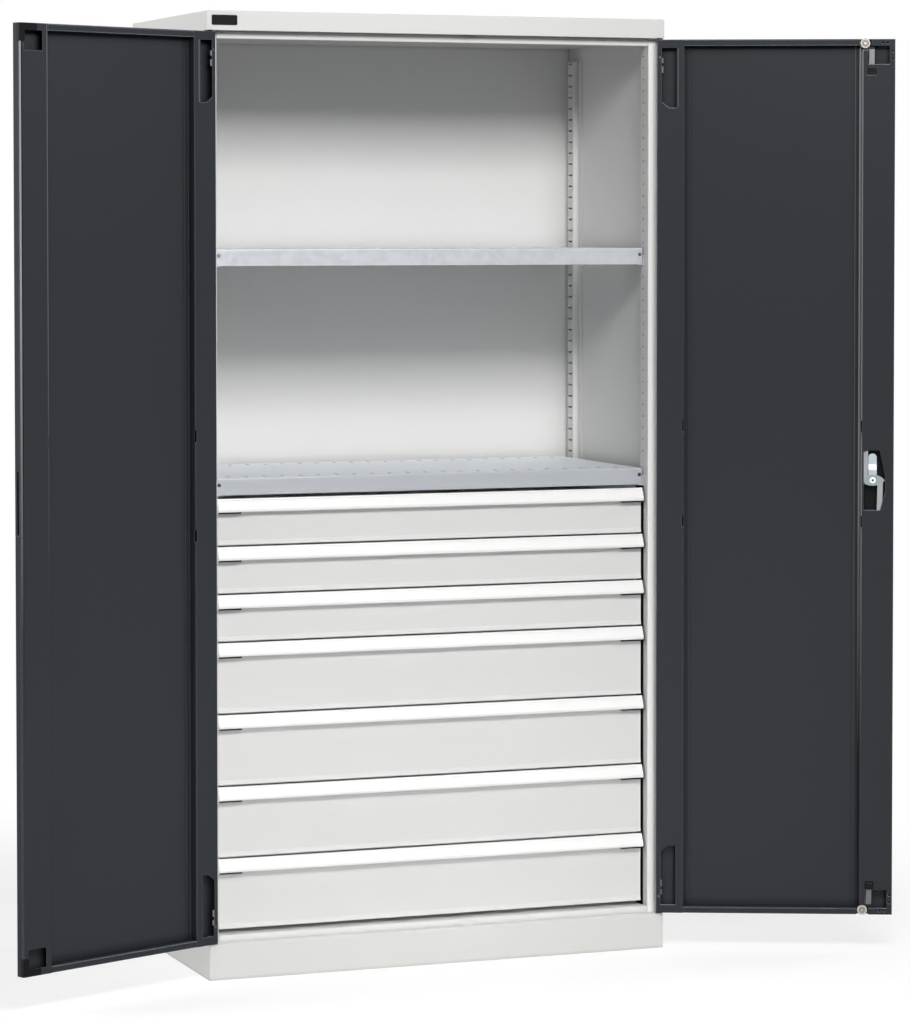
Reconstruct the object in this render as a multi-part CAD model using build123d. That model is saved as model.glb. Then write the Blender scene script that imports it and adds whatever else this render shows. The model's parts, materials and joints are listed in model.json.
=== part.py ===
from build123d import *
from math import hypot
import os

# A sheet-metal cabinet with two hinged doors, two shelves and seven drawers.
# All sizes are in millimetres. X runs to the right, Y to the back and Z up,
# from the centre of the footprint on the floor.

# Cabinet body
cabinet_width = 1023
cabinet_depth = 555
cabinet_height = 2000
plinth_height = 75
cap_height = 40
body_sheet = 1.2
base_sheet = 1.5
body_bend = 2.6
side_return = 25
front_return = 52.5
post_width = 27.5
post_depth = 42
back_recess = 27.5
fit_gap = 0.5
hole_pitch = 25
first_hole_height = 23
post_hole_diameter = 4
post_hole_setback = 27
ceiling_front_height = 16.5
ceiling_return = 30
deck_height = 13
channel_width = 60
channel_height = 30
channel_sheet = 2
badge_size = (54.4, 20.5)
badge_inset = 10.2
badge_rise = 10.6
badge_thickness = 1.2
badge_corner = 2.5

# Rear posts, their places measured forward from the back panel
rear_post_depth = 76
rear_post_crown = (55, 20)
rear_post_stand_off = 13.8
rear_post_sheet = 1.5
rear_post_top_gap = 30
slot_length = 20
slot_width = 3.5
slot_end_gap = 5
round_hole_diameter = 3
round_hole_pitch = 125
round_hole_drop = 2.5 * hole_pitch

# Doors
door_thickness = 21
door_clearance = 2.5
door_top_gap = 3
door_bottom_gap = 2
door_side_gap = 2
door_meeting_gap = 5.2
door_sheet = 1
door_bend = 2
door_lip = 14
edge_return = 4
pivot_inset = 7.5
rest_opening = 156.3
hinge_channel_width = 58
hinge_channel_flange = 12
hinge_window_inset = (11.4, 43.5)
hinge_window_drop = (18, 145.5)
hinge_window_slant = (16, 12.5)
release_hole_diameter = 4
release_hole_inset = 8
release_hole_drop = 37
free_channel_width = 70.9
free_channel_flange = 14
end_window_setback = (57.4, 11.9)
end_window_drop = (14.5, 53.5)
small_hole_diameter = 4.6
small_hole_places = ((26.4, 8), (16.4, 8), (5.9, 26), (5.9, 42))
notch_rises = (-89.3, 115.2)
notch_length = 24
notch_depth = 3.5

# Corner blocks on the left door's free corners
corner_block_reach = 43
corner_block_leg = 13
corner_block_height = 14
corner_block_drop = 36
corner_block_proud = 1.2
corner_block_wrap = 6
corner_hole_diameter = 4
corner_hole_inset = 5.5

# Hinge pins and bushes
pin_diameter = 8
pin_fit = 0.075
pin_past_body = 10
pin_block_inset = (3.3, 14)
pin_block_drop = (4, 14)
pin_block_depth = (1.1, 19)
slide_plate_inset = (3.3, 10.8)
slide_plate_thickness = 1.6
slide_lug_inset = 14.8
slide_lug_drops = ((39.5, 50), (57, 71))
bush_flange_diameter = 13
bush_neck_diameter = 10.3
bush_neck_length = 6
bush_running_gap = 0.4
neck_hole_gap = 0.1

# Lock and rods, depths measured from the door's outer face
lock_setback = 44.7
lock_height = 1013.7
lock_window_reach = (19.3, 26.2)
lock_window_half_height = 64
lock_window_chamfer = (8, 3.5)
lock_window_upper_slant = (11.4, 55)
lock_window_lower_slant = (10.4, 38)
housing_plate_reach = (23.2, 30.3)
housing_plate_half_height = 69.5
housing_plate_thickness = 3
housing_plate_corner = 8
housing_reach = (17.2, 24.8)
housing_half_height = 62.5
housing_depth = 8.3
housing_sheet = 1.2
housing_boss_diameter = 20
housing_boss_depth = 11.5
tongue_depths = (12, 15)
tongue_tip_depths = (8.8, 11.8)
tongue_step = (22.2, 33.4)
tongue_reach = 56.7
tongue_width = 17.7
tongue_gap = 1.2
tongue_slot_half_height = 63
rod_depths = (15.4, 17.4)
cam_depths = (17.8, 19.4)
cam_half_height = 11.8
cam_tip = 26
cam_cut = 22
crank_radius = 16.2
crank_pin_diameter = 5
crank_pin_end = 20.6
hub_diameter = 15
screw_diameter = 13.5
screw_depth = 22
screw_edge = 0.7
socket_across = 5
socket_depth = 1.5
spindle_diameter = 10
spindle_fit = 0.075
spindle_start = -6
handle_boss_diameter = 34
handle_boss_depths = (-22, -3.4)
wing_half_length = 45
wing_half_width = 10
wing_depths = (-20, -9)
wing_corner = 9
plug_diameter = 16
plug_fit = 0.05
plug_depths = (-22.5, -8.4)
plug_bore_end = -8
keyway = (2, 10)
keyway_depth = 8.5
rod_width = 11.5
rod_overlap = 4
rod_taper = (4, 8)
rod_end_setbacks = {"top": 49.4, "bottom": 50.2}
step_drop = (22, 24)
foot_drop = (17, 24)
arm_drop = (3, 24)
arm_half_width = 5.5
foot_depths = (11, 13)
roller_diameter = 21
roller_edge = 1.2
roller_setback = 63.9
roller_drop = 9.3
roller_depths = (13.4, 20.4)
roller_dish = (15.5, 1)
roller_axle_diameter = 5
roller_fit = 0.05
axle_head = (8, 1)
axle_head_gap = 0.4
roller_corner_setback = (76.4, 50.9)
roller_corner_drop = 23
rod_clearance = 0.6
guide_drops = {"top": (62.5, 76.5), "bottom": (54.5, 72)}
guide_half_width = 10
guide_proud = 0.5
guide_slit = (3.7, 5.3)

# Shelves, set back from the front of the posts
upper_shelf_top = 1511
shelf_above_drawers = 42
shelf_side_gap = 3
shelf_setback = 22
shelf_rear_gap = 22
shelf_lip = 35
shelf_hem_depth = 14
shelf_slot_pitch = 40
shelf_slot_width = 6
shelf_slot_end_gap = 30
front_slot_row = (40, 65)
rear_slot_row = (55, 30)
lip_hole_diameter = 8
lip_hole_inset = 7
lip_hole_drop = 14
clip_sheet = 2
clip_height = 20
clip_reach = 10
clip_front = (2, 20)
clip_rear = (28, 6)

# Drawers, from the top one down
drawer_lift = 6
drawer_pitches = (100, 100, 100, 150, 150, 150, 150)
drawer_gap = 3
drawer_setback = 22
drawer_side_gap = 6.5
drawer_flare = 2.5
drawer_flare_height = 11
drawer_bend = 1.6
drawer_flange = 12
front_head_drop = 1
tray_side_gap = 24
tray_rear_gap = 26
tray_sheet = 1
tray_below_pitch = 25
tray_lift = 8
grip_overhang = 1.5
grip_height = 28
grip_nose_radius = 1.6
grip_end_length = 49.5
grip_end_plate = 1.5

# Drawer runners
runner_below_top = 42
runner_front_gap = 15
runner_rear_gap = 29
runner_sheet = 1.5
runner_gap = 0.5
runner_side_gap = 1
runner_half_height = 17
runner_reach = 12.5
strip_thickness = 3.5
front_strip_width = 32
strip_above_drawers = 4
rear_strip = (58, 28)

# Places worked out from the sizes above
half_width = cabinet_width / 2
front = -cabinet_depth / 2
back = cabinet_depth / 2
body_top = cabinet_height - cap_height
body_front = front + door_thickness + door_clearance
post_face = half_width - post_width
post_back = body_front + post_depth
back_face = back - back_recess
deck_top = plinth_height + deck_height
rear_post_front = back_face - rear_post_depth
rear_post_face = half_width - body_sheet - rear_post_stand_off
door_top = body_top - door_top_gap
door_bottom = plinth_height + door_bottom_gap
door_free_edge = half_width - door_meeting_gap / 2
door_rim = door_thickness - door_sheet
pivot_x = half_width - pivot_inset
pivot_y = front + pivot_inset
lock_inset = door_free_edge - lock_setback
drawer_top = deck_top + drawer_lift + sum(drawer_pitches)
drawer_front = body_front + drawer_setback
drawer_half_width = post_face - drawer_side_gap
grip_half_width = drawer_half_width + grip_overhang
tray_half_width = post_face - tray_side_gap
tray_back = back_face - tray_rear_gap
runner_face = post_face - strip_thickness
runner_front = drawer_front + runner_front_gap
runner_back = back_face - runner_rear_gap
lower_shelf_top = drawer_top + shelf_above_drawers
shelf_half_width = post_face - shelf_side_gap
shelf_front = body_front + shelf_setback
shelf_back = back_face - shelf_rear_gap


def block(x, y, z):
    """Box from three pairs of low and high values."""
    size = [high - low for low, high in (x, y, z)]
    middle = [(high + low) / 2 for low, high in (x, y, z)]
    return Pos(*middle) * Box(*size)


def rod(diameter, start, end):
    """Cylinder between two points on a line along one axis."""
    path = Vector(*end) - Vector(*start)
    plane = Plane(origin=start, z_dir=path)
    return extrude(plane * Circle(diameter / 2), amount=path.length)


def group(shapes):
    """Several solids kept apart in one node."""
    return Compound(children=[solid for shape in shapes for solid in shape.solids()])


def mirrored(shape):
    return mirror(shape, about=Plane.YZ)


def both_sides(shapes):
    return group([side for shape in shapes for side in (shape, mirrored(shape))])


def moved_right(points, amount):
    """The line through the points, moved to its right, with mitred corners."""
    steps = [(bx - ax, by - ay) for (ax, ay), (bx, by) in zip(points, points[1:])]
    sides = [(dy / hypot(dx, dy), -dx / hypot(dx, dy)) for dx, dy in steps]
    moved = []
    for (x, y), (ax, ay), (bx, by) in zip(points, sides[:1] + sides, sides + sides[-1:]):
        share = amount / (1 + ax * bx + ay * by)
        moved.append((x + (ax + bx) * share, y + (ay + by) * share))
    return moved


def bend_radii(points, sheet, bend):
    """Radii on the line's own side and on the far side, one pair for each corner."""
    near = []
    for (ax, ay), (bx, by), (cx, cy) in zip(points, points[1:], points[2:]):
        turn = (bx - ax) * (cy - by) - (by - ay) * (cx - bx)
        near.append(bend if turn < 0 else bend - sheet)
    return near, [2 * bend - sheet - radius for radius in near]


def sheet_section(points, sheet, bend):
    """Section of a folded sheet that lies to the right of the line through the points."""
    near, far = bend_radii(points, sheet, bend)
    far_points = moved_right(points, sheet)
    outline = FilletPolyline(*points, radius=near).edges()
    outline += FilletPolyline(*far_points, radius=far).edges()
    outline += [Line(points[0], far_points[0]).edge(), Line(points[-1], far_points[-1]).edge()]
    return make_face(outline)


def folded_upright(points, sheet, bend, z):
    section = sheet_section(points, sheet, bend)
    return extrude(Plane.XY.offset(z[0]) * section, amount=z[1] - z[0])


def folded_rail(points, sheet, bend, x):
    section = sheet_section(points, sheet, bend)
    return extrude(Plane.YZ.offset(x[0]) * section, amount=x[1] - x[0])


def profile_bar(points, x, nose_radius=0):
    """Bar along X with a (y, z) outline, its two foremost corners rounded."""
    section = make_face(Polyline(*points, close=True))
    if nose_radius:
        section = fillet(section.vertices().sort_by(Axis.X)[:2], nose_radius)
    return extrude(Plane.YZ.offset(x[0]) * section, amount=x[1] - x[0])


def rounded_block(x, y, z, radius):
    """Block with round upright edges and round top edges."""
    solid = block(x, y, z)
    return fillet(solid.edges().filter_by(Axis.Z) + solid.edges().group_by(Axis.Z)[-1], radius)


# Door pieces are drawn on the closed right-hand door. An inset is measured from the
# cabinet's side face, a setback from the door's free edge, a drop from the door's top
# or bottom end, and a depth from the door's outer face.


def door_block(inset, depth, z):
    x = (half_width - inset[1], half_width - inset[0])
    y = (front + depth[0], front + depth[1])
    return block(x, y, z)


def door_plate(points, depth):
    """Plate with an outline of (inset, height) points."""
    outline = [(half_width - inset, z) for inset, z in points]
    section = make_face(Polyline(*outline, close=True))
    return extrude(Plane.XZ.offset(-front - depth[1]) * section, amount=depth[1] - depth[0])


def door_rod(diameter, inset, z, depth):
    x = half_width - inset
    return rod(diameter, (x, front + depth[0], z), (x, front + depth[1], z))


def rounded_door_plate(inset, depth, z, radius):
    plate = door_block(inset, depth, z)
    return fillet(plate.edges().filter_by(Axis.Y), radius)


def from_free(setback):
    return door_free_edge - setback


def free_span(setbacks):
    return sorted(from_free(setback) for setback in setbacks)


def from_end(end, drop):
    return door_top - drop if end == "top" else door_bottom + drop


def end_span(end, drops):
    return sorted(from_end(end, drop) for drop in drops)


def lock_inset_span(reach):
    """Insets on the hinge side and the free side of the lock's axis."""
    return lock_inset - reach[0], lock_inset + reach[1]


def lock_height_span(half_height):
    return lock_height - half_height, lock_height + half_height


def face_cut_depth():
    """Depths that cut through a channel's inner face."""
    return door_rim - door_sheet, door_thickness


def opened(shape):
    """The closed right-hand door piece swung to where it stands at rest."""
    return Pos(pivot_x, pivot_y, 0) * Rot(0, 0, rest_opening) * Pos(-pivot_x, -pivot_y, 0) * shape


# Passages shared by the cap, the plinth and the doors


def roller_passages(z):
    """Slot where the roller and its foot enter the cap or the plinth."""
    near, far = free_span(roller_corner_setback)
    depth = (foot_depths[0] - 2 * rod_clearance, door_thickness + door_clearance - fit_gap)
    return door_block((near - rod_clearance, far + rod_clearance), depth, z)


def bush_holes(z):
    diameter = bush_neck_diameter + 2 * neck_hole_gap
    hole = rod(diameter, (pivot_x, pivot_y, z[0]), (pivot_x, pivot_y, z[1]))
    return [hole, mirrored(hole)]


def bush_steps(z_face, direction):
    """Bush in the cap (direction 1) or the plinth (direction -1)."""
    gap = door_top_gap if direction > 0 else door_bottom_gap
    flange_start = z_face - direction * (gap - bush_running_gap)
    neck_end = z_face + direction * bush_neck_length
    axis_points = [(pivot_x, pivot_y, z) for z in (flange_start, z_face, neck_end)]
    flange = rod(bush_flange_diameter, axis_points[0], axis_points[1])
    neck = rod(bush_neck_diameter, axis_points[0], axis_points[2])
    bore = rod(pin_diameter + 2 * pin_fit, axis_points[0], axis_points[2])
    return flange + neck - bore


def hinge_bushes():
    return both_sides([bush_steps(body_top, 1), bush_steps(plinth_height, -1)])


# Cabinet body


def flange_opening(z):
    """Hole that leaves a wide flange at the front and narrow ones round the rest."""
    x = half_width - side_return
    return block((-x, x), (front + front_return, back - side_return), z)


def top_cap():
    outer_x = (-half_width, half_width)
    pan = rounded_block(outer_x, (front, back), (body_top, cabinet_height), body_bend)
    inner_x = half_width - base_sheet
    floor_z = (body_top, body_top + base_sheet)
    cavity_z = (body_top + base_sheet, cabinet_height - base_sheet)
    cavity = block((-inner_x, inner_x), (front + base_sheet, back - base_sheet), cavity_z)
    return pan - [cavity, flange_opening(floor_z), roller_passages(floor_z)] - bush_holes(floor_z)


def plinth():
    outer_x = (-half_width, half_width)
    base = rounded_block(outer_x, (front, back), (0, plinth_height), body_bend)
    inner_x = half_width - base_sheet
    inner_y = (front + base_sheet, back - base_sheet)
    ledge_z = (plinth_height - base_sheet, plinth_height)
    cavity = block((-inner_x, inner_x), inner_y, (base_sheet, ledge_z[0]))
    opening_x = half_width - side_return
    opening_y = (front + side_return, back - side_return)
    underside = block((-opening_x, opening_x), opening_y, (0, base_sheet))
    frame = base - [cavity, flange_opening(ledge_z), underside, roller_passages(ledge_z)]
    return frame - bush_holes(ledge_z) + cross_channel(inner_y)


def cross_channel(y):
    """Channel across the middle of the plinth, which rests on the floor."""
    half = channel_width / 2
    inner = half - channel_sheet
    outer = block((-half, half), y, (0, channel_height))
    return outer - block((-inner, inner), y, (channel_sheet, channel_height))


def post_hole_heights():
    first = plinth_height + first_hole_height
    count = int((body_top - first) / hole_pitch)
    return [first + hole_pitch * index for index in range(count)]


def side_panel():
    """Side wall, front post and rear return, one folded sheet."""
    points = [
        (half_width - side_return, back),
        (half_width, back),
        (half_width, body_front),
        (post_face, body_front),
        (post_face, post_back),
        (half_width - body_sheet - fit_gap, post_back),
    ]
    panel = folded_upright(points, body_sheet, body_bend, (plinth_height, body_top))
    y = body_front + post_hole_setback
    ends = (post_face - body_sheet, post_face + 2 * body_sheet)
    holes = [rod(post_hole_diameter, (ends[0], y, z), (ends[1], y, z)) for z in post_hole_heights()]
    return panel - holes


def back_panel():
    """Pan whose flanges reach back to the side panels' returns."""
    x = half_width - body_bend
    y_end = back - body_sheet
    z = (plinth_height + fit_gap, body_top - fit_gap)
    outer = block((-x, x), (back_face, y_end), z)
    inner_x = x - body_sheet
    inner_z = (z[0] + body_sheet, z[1] - body_sheet)
    return outer - block((-inner_x, inner_x), (back_face + body_sheet, y_end), inner_z)


def floor_deck():
    """Deck over the plinth, notched round the front posts, with walls turned down."""
    wide_x = half_width - body_sheet - fit_gap
    wide_y = (post_back + fit_gap, rear_post_front - fit_gap)
    z = (plinth_height, deck_top)
    narrow = rounded_block((-post_face, post_face), (body_front, back_face), z, body_bend)
    outer = narrow + block((-wide_x, wide_x), wide_y, z)
    inner_z = (plinth_height, deck_top - body_sheet)
    inner_x = post_face - body_sheet
    inner_y = (body_front + body_sheet, back_face - body_sheet)
    wide_inner_x = wide_x - body_sheet
    wide_inner_y = (wide_y[0] + body_sheet, wide_y[1] - body_sheet)
    hollow = block((-inner_x, inner_x), inner_y, inner_z)
    return outer - hollow - block((-wide_inner_x, wide_inner_x), wide_inner_y, inner_z)


def ceiling_panel():
    """Sheet under the cap; its front is turned down and back, its rear is wider than the posts."""
    bottom = body_top - ceiling_front_height
    inner = body_front + ceiling_return
    points = [(inner, bottom), (body_front, bottom), (body_front, body_top), (back_face, body_top)]
    narrow = folded_rail(points, body_sheet, body_bend, (-post_face, post_face))
    wide_x = half_width - body_sheet - fit_gap
    y = (post_back + fit_gap, back_face)
    return narrow + block((-wide_x, wide_x), y, (body_top - body_sheet, body_top))


def rear_post():
    wall = half_width - body_sheet - rear_post_sheet
    crown = [back_face - distance for distance in rear_post_crown]
    points = [
        (wall, rear_post_front),
        (wall, crown[0]),
        (rear_post_face, crown[0]),
        (rear_post_face, crown[1]),
        (wall, crown[1]),
        (wall, back_face),
    ]
    z = (deck_top, body_top - rear_post_top_gap)
    post = folded_upright(points, rear_post_sheet, body_bend, z)
    middle = sum(crown) / 2
    x = (rear_post_face - rear_post_sheet, rear_post_face + 2 * rear_post_sheet)
    y = (middle - slot_length / 2, middle + slot_length / 2)
    half_slot = slot_width / 2
    low, high = z[0] + slot_end_gap, z[1] - slot_end_gap
    heights = [height for height in post_hole_heights() if low < height < high]
    slots = [block(x, y, (height - half_slot, height + half_slot)) for height in heights]
    highest = heights[-1] - round_hole_drop
    count = int((highest - low) / round_hole_pitch)
    round_heights = [highest - round_hole_pitch * index for index in range(count)]
    rounds = [
        rod(round_hole_diameter, (x[0], middle, height), (x[1], middle, height))
        for height in round_heights
    ]
    return post - slots - rounds


def badge_plate():
    """Blank plate on the cap's front, near its left end."""
    left = badge_inset - half_width
    bottom = body_top + badge_rise
    x = (left, left + badge_size[0])
    plate = block(x, (front - badge_thickness, front), (bottom, bottom + badge_size[1]))
    return fillet(plate.edges().filter_by(Axis.Y), badge_corner)


# Shelves and their clips


def shelf(top):
    bottom = top - shelf_lip
    x = (-shelf_half_width, shelf_half_width)
    pan = rounded_block(x, (shelf_front, shelf_back), (bottom, top), body_bend)
    inner_x = shelf_half_width - body_sheet
    inner_y = (shelf_front + body_sheet, shelf_back - body_sheet)
    cavity = block((-inner_x, inner_x), inner_y, (bottom, top - body_sheet))
    return pan - cavity + shelf_hem(bottom) - shelf_slots(top) - lip_holes(top)


def shelf_hem(bottom):
    """Return along the foot of the front lip."""
    x = shelf_half_width - body_sheet
    y = (shelf_front + body_sheet, shelf_front + shelf_hem_depth)
    return block((-x, x), y, (bottom, bottom + body_sheet))


def shelf_slots(top):
    """Two rows of divider slots, behind the front edge and before the rear edge."""
    count = int((shelf_half_width - shelf_slot_end_gap) / shelf_slot_pitch)
    places = [shelf_slot_pitch * index for index in range(-count, count + 1)]
    half = shelf_slot_width / 2
    front_row = [shelf_front + distance for distance in front_slot_row]
    rear_row = [shelf_back - distance for distance in rear_slot_row]
    z = (top - body_sheet, top)
    return [block((x - half, x + half), y, z) for x in places for y in (front_row, rear_row)]


def lip_holes(top):
    x = shelf_half_width - lip_hole_inset
    z = top - lip_hole_drop
    hole = rod(lip_hole_diameter, (x, shelf_front, z), (x, shelf_front + body_sheet, z))
    return [hole, mirrored(hole)]


def shelf_clip(top, seat, y):
    """Angle clip on a post: the shelf's side lip stands on its ledge."""
    bottom = top - shelf_lip
    plate = block((seat - clip_sheet, seat), y, (bottom - clip_sheet, bottom + clip_height))
    ledge_x = (shelf_half_width - clip_reach, seat)
    return plate + block(ledge_x, y, (bottom - clip_sheet, bottom))


def shelf_clips():
    front_y = [shelf_front + distance for distance in clip_front]
    rear_y = [shelf_back - distance for distance in clip_rear]
    clips = []
    for top in (upper_shelf_top, lower_shelf_top):
        clips.append(shelf_clip(top, post_face, front_y))
        clips.append(shelf_clip(top, rear_post_face, rear_y))
    return both_sides(clips)


# Runners: a fixed member on the cabinet, one between, and one on the drawer


def runner_channel(x, half_height, opens):
    """Channel member whose open side faces the drawer (in) or the post (out)."""
    y = (runner_front, runner_back)
    outer = block(x, y, (-half_height, half_height))
    inner = (x[0], x[1] - runner_sheet) if opens == "in" else (x[0] + runner_sheet, x[1])
    inner_half = half_height - runner_sheet
    return outer - block(inner, y, (-inner_half, inner_half))


def middle_half_height():
    return runner_half_height - runner_sheet - runner_gap


def inner_half_height():
    return middle_half_height() - runner_sheet - runner_gap


def fixed_member():
    return runner_channel((runner_face - runner_reach, runner_face), runner_half_height, "in")


def middle_member():
    outer_face = runner_face - runner_sheet - runner_side_gap
    return runner_channel((outer_face - runner_reach, outer_face), middle_half_height(), "in")


def inner_member():
    outer_face = runner_face - 2 * (runner_sheet + runner_side_gap) - runner_gap
    return runner_channel((tray_half_width, outer_face), inner_half_height(), "out")


def drawer_tops():
    return [drawer_top - sum(drawer_pitches[:index]) for index in range(len(drawer_pitches))]


def fixed_runners():
    return both_sides([Pos(0, 0, top - runner_below_top) * fixed_member() for top in drawer_tops()])


def runner_strips():
    """Uprights that carry the fixed members: a flat one in front, an angle at the rear."""
    z = (deck_top, drawer_top + strip_above_drawers)
    front_y = (drawer_front + fit_gap, drawer_front + front_strip_width)
    front_strip = block((runner_face, post_face), front_y, z)
    rear_y = [back_face - distance for distance in rear_strip]
    rear_plate = block((runner_face, runner_face + runner_sheet), rear_y, z)
    middle = sum(rear_y) / 2
    rear_web = block((runner_face, rear_post_face), (middle, middle + runner_sheet), z)
    return both_sides([front_strip, rear_plate + rear_web])


# Drawers


def drawer_front_panel(top, bottom):
    """Front sheet: its foot flares forward, and its edges turn back."""
    head = top - front_head_drop
    flange_y = drawer_front + drawer_flange
    points = [
        (flange_y, bottom),
        (drawer_front - drawer_flare, bottom),
        (drawer_front, bottom + drawer_flare_height),
        (drawer_front, head),
        (flange_y, head),
    ]
    x = drawer_half_width
    panel = folded_rail(points, body_sheet, drawer_bend, (-x, x))
    flange = block((x - body_sheet, x), (drawer_front, flange_y), (bottom + body_sheet, head))
    return panel + flange + mirrored(flange)


def drawer_tray(top, pitch):
    bottom = top - pitch + drawer_gap
    z = (bottom + tray_lift, bottom + tray_lift + pitch - tray_below_pitch)
    y = (drawer_front + body_sheet, tray_back)
    outer = block((-tray_half_width, tray_half_width), y, z)
    inner_x = tray_half_width - tray_sheet
    inner_y = (y[0] + tray_sheet, y[1] - tray_sheet)
    box = outer - block((-inner_x, inner_x), inner_y, (z[0] + tray_sheet, z[1]))
    member = Pos(0, 0, top - runner_below_top) * inner_member()
    return box + drawer_front_panel(top, bottom) + member + mirrored(member)


# Outlines of the grip and its end pieces: distances in front of the drawer's face and
# below the grip's top.
grip_outline = (
    (0, 0),
    (4, 0.5),
    (5.2, 3.6),
    (4.6, 4.1),
    (5.6, 4.7),
    (13.5, 22),
    (13.5, grip_height - 0.5),
    (11.3, grip_height),
    (11.3, 22),
    (3.6, 6),
    (1.6, 6),
    (1.6, grip_height),
    (0, grip_height),
)
plug_outline = (
    (1.6, 8),
    (4.2, 8),
    (11.1, 22.2),
    (11.1, grip_height + 3),
    (1.6, grip_height + 3),
)
end_plate_outline = (
    (0, 0.4),
    (4, 0.9),
    (13.2, 22),
    (13.2, grip_height),
    (11.1, grip_height + 3),
    (0, grip_height + 3),
)


def grip_points(outline, top):
    return [(drawer_front - distance, top - drop) for distance, drop in outline]


def drawer_grip(top):
    """Sloping grip: a groove under its top edge, a round nose and an open underside."""
    x = (-grip_half_width, grip_half_width)
    return profile_bar(grip_points(grip_outline, top), x, nose_radius=grip_nose_radius)


def grip_end(top):
    """Plastic plug under the grip's end, with a plate that closes the profile."""
    plug_x = (grip_half_width - grip_end_length, grip_half_width)
    plate_x = (grip_half_width, grip_half_width + grip_end_plate)
    plate = profile_bar(grip_points(end_plate_outline, top), plate_x)
    return profile_bar(grip_points(plug_outline, top), plug_x) + plate


def drawer_nodes():
    nodes = {}
    for number, (top, pitch) in enumerate(zip(drawer_tops(), drawer_pitches), start=1):
        name = f"drawer_{number}"
        nodes[f"{name}_tray"] = drawer_tray(top, pitch)
        nodes[f"{name}_grip"] = drawer_grip(top)
        nodes[f"{name}_grip_ends"] = both_sides([grip_end(top)])
        member = Pos(0, 0, top - runner_below_top) * middle_member()
        nodes[f"{name}_runners"] = both_sides([member])
    return nodes


# Doors


def door_skin(cuts):
    """Outer sheet with four edge walls and a folded lip along the top and the bottom."""
    inset = (door_side_gap, door_free_edge)
    outer = door_block(inset, (0, door_rim), (door_bottom, door_top))
    outer = fillet(outer.edges().group_by(Axis.Y)[0], door_bend)
    inner = (inset[0] + door_sheet, inset[1] - door_sheet)
    z = (door_bottom + door_sheet, door_top - door_sheet)
    skin = outer - door_block(inner, (door_sheet, door_rim), z)
    return_depth = (door_thickness - edge_return, door_rim)
    skin -= door_block((inset[0], inner[0]), return_depth, z)
    skin -= door_block((inner[1], inset[1]), return_depth, z)
    for end in ("top", "bottom"):
        skin = with_end_lip(skin, end) - pin_clearance(end)
    return skin - cuts


def with_end_lip(skin, end):
    """The skin with its end wall folded over and back towards the skin."""
    inset = (door_side_gap + hinge_channel_width, from_free(free_channel_width))
    fold_start = door_thickness - door_bend
    skin -= door_block(inset, (fold_start, door_rim), end_span(end, (0, door_sheet)))
    foot = door_sheet + door_bend
    lip = door_block(inset, (foot, door_thickness), end_span(end, (0, door_lip)))
    lip = fillet(lip.edges().filter_by(Axis.X).group_by(Axis.Y)[-1], door_bend)
    hollow_z = end_span(end, (door_sheet, door_lip - door_sheet))
    hollow = door_block(inset, (foot, door_rim), hollow_z)
    hollow = fillet(hollow.edges().filter_by(Axis.X).group_by(Axis.Y)[-1], door_bend - door_sheet)
    return skin + (lip - hollow)


def pin_clearance(end):
    low, high = end_span(end, (-door_sheet, 2 * door_sheet))
    return rod(pin_diameter + 2 * pin_fit + fit_gap, (pivot_x, pivot_y, low), (pivot_x, pivot_y, high))


def edge_channel(points):
    """Folded channel behind a door edge, its face running over the end walls."""
    channel = folded_upright(points, door_sheet, door_bend, (door_bottom, door_top))
    insets = sorted(half_width - x for x, _ in points)
    for end in ("top", "bottom"):
        channel -= door_block((insets[0], insets[-1]), (0, door_rim), end_span(end, (0, door_sheet)))
    return channel


def edge_notches(wall):
    """Small notches in the corner between a channel's face and its side wall."""
    inset = (wall - notch_depth, wall + notch_depth)
    half = notch_length / 2
    depth = (door_thickness - notch_depth, door_thickness)
    heights = [lock_height + rise for rise in notch_rises]
    return [door_block(inset, depth, (z - half, z + half)) for z in heights]


def hinge_window(end):
    """Window over the hinge pin, with one slanting corner."""
    near, far = hinge_window_inset
    start, finish = [from_end(end, drop) for drop in hinge_window_drop]
    slant_start = from_end(end, hinge_window_drop[1] - hinge_window_slant[1])
    points = [
        (near, start),
        (far, start),
        (far, finish),
        (near + hinge_window_slant[0], finish),
        (near, slant_start),
    ]
    return door_plate(points, face_cut_depth())


def hinge_channel():
    edge = half_width - door_side_gap
    end = edge - hinge_channel_width
    face_y = front + door_thickness
    skin_y = front + 2 * door_sheet
    points = [
        (end - hinge_channel_flange, skin_y),
        (end, skin_y),
        (end, face_y),
        (edge, face_y),
        (edge, face_y - edge_return),
    ]
    channel = edge_channel(points) - [hinge_window("top"), hinge_window("bottom")]
    for side in ("top", "bottom"):
        z = from_end(side, release_hole_drop)
        channel -= door_rod(release_hole_diameter, release_hole_inset, z, face_cut_depth())
    return channel - edge_notches(door_side_gap + hinge_channel_width)


def free_channel():
    edge = half_width - door_free_edge
    start = edge + free_channel_width
    face_y = front + door_thickness
    skin_y = front + 2 * door_sheet
    points = [
        (edge, face_y - edge_return),
        (edge, face_y),
        (start, face_y),
        (start, skin_y),
        (start + free_channel_flange, skin_y),
    ]
    channel = edge_channel(points)
    window_inset = free_span(end_window_setback)
    for end in ("top", "bottom"):
        channel -= door_block(window_inset, face_cut_depth(), end_span(end, end_window_drop))
        channel -= [
            door_rod(small_hole_diameter, from_free(setback), from_end(end, drop), face_cut_depth())
            for setback, drop in small_hole_places
        ]
    return channel - edge_notches(from_free(free_channel_width))


def lock_channel():
    channel = free_channel() - lock_window()
    channel -= [roller_notch("top"), roller_notch("bottom")]
    return channel - [guide_window("top"), guide_window("bottom")]


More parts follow.
